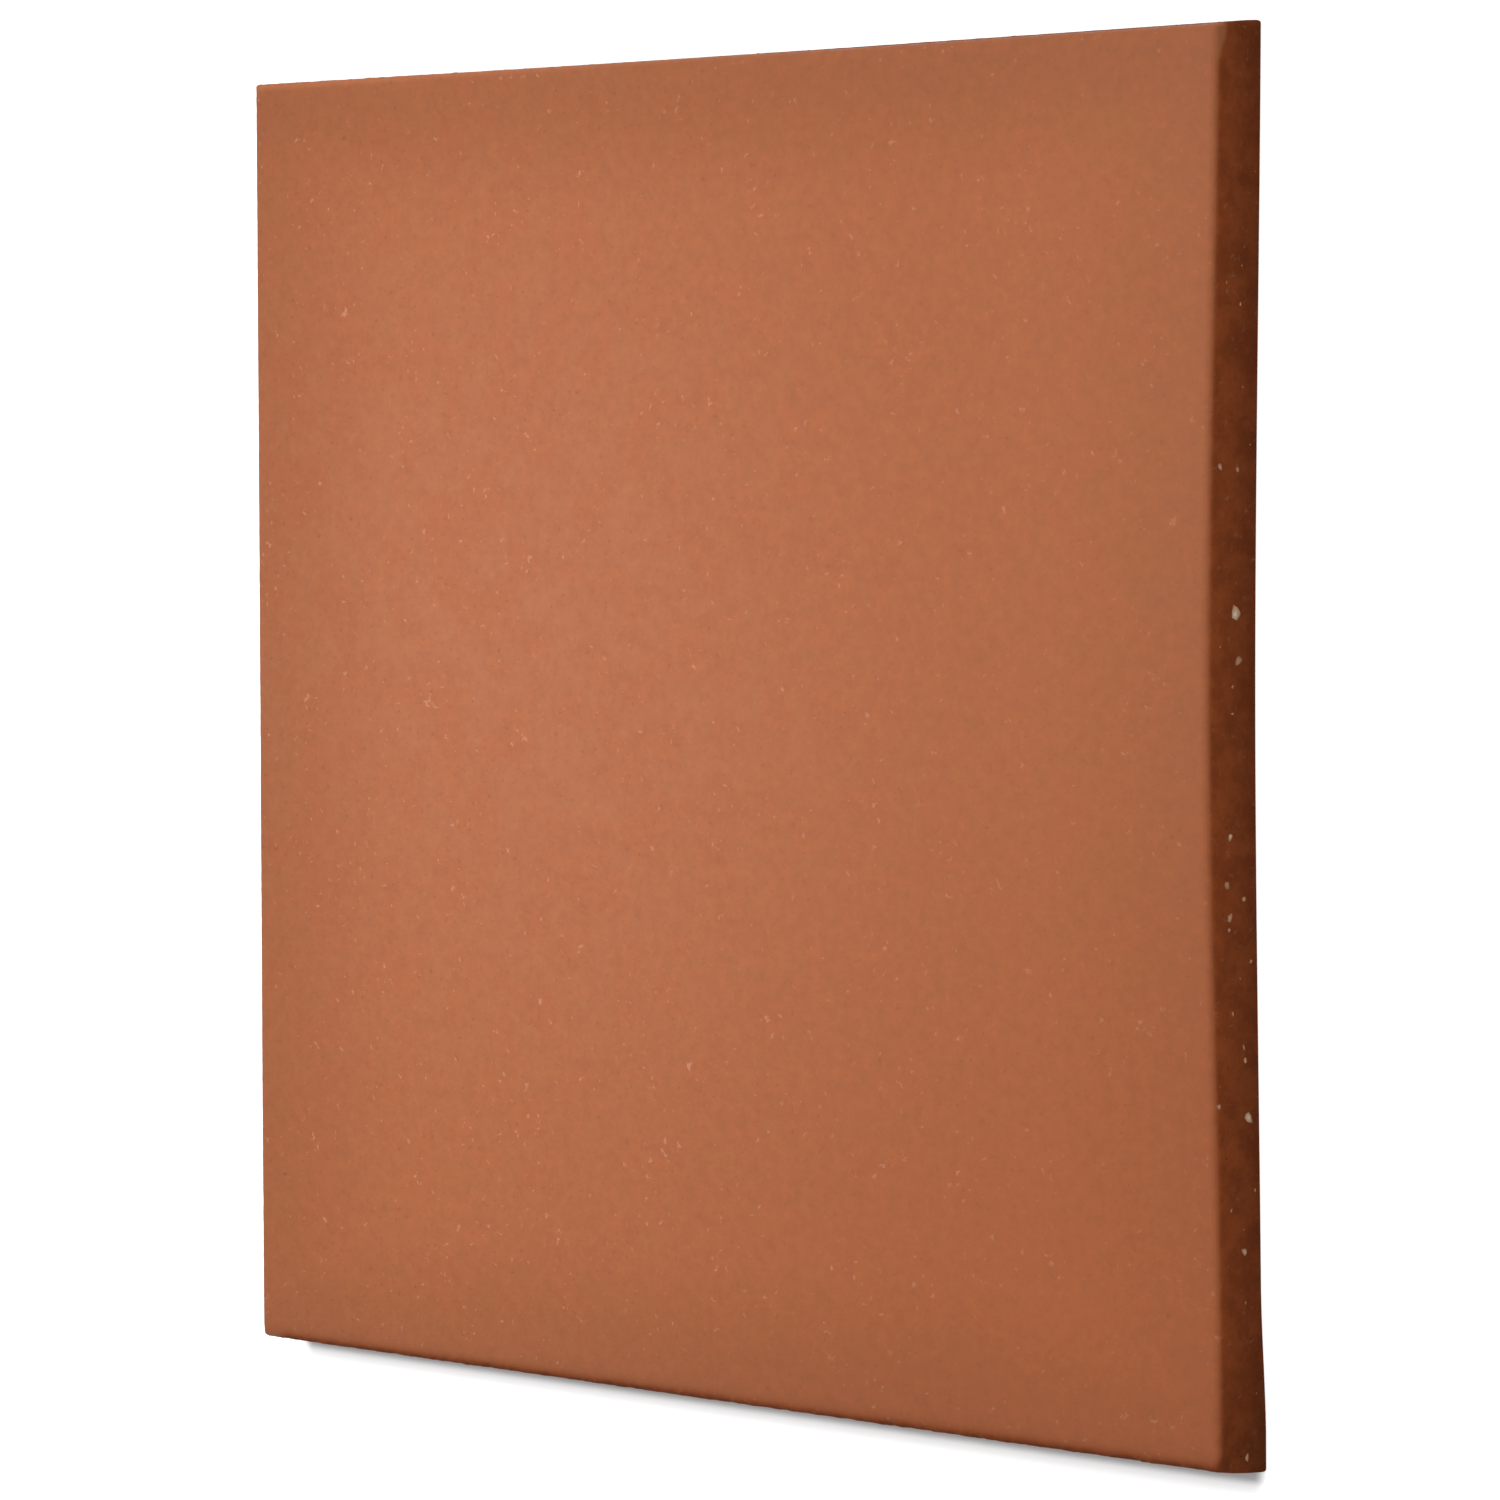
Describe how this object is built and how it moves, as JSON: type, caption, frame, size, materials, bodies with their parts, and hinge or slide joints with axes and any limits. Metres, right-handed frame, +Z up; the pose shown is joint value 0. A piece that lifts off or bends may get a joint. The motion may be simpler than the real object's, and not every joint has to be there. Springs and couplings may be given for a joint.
{
  "type": "extruded floor tile",
  "caption": "Square unglazed floor tile of red-brown fired clay, flat smooth face with eased arrises, leaning cut sides, one side drawn slightly hollow, dovetail-keyed back",
  "frame": {"origin": "Middle of the bedding plane that the lands of the keyed back lie in, under the centre of the tile", "axes": "+Z up through the wearing face; Y along the way the clay left the die, which the keys follow; +X towards the side that drew in hollow"},
  "size_m": [0.2399, 0.24, 0.011],
  "materials": {
    "fired_clay": "unglazed, matt, fine sandy grain with small pale grog specks"
  },
  "bodies": {
    "root": {"floor_tile": "fired_clay"}
  },
  "joints": []
}
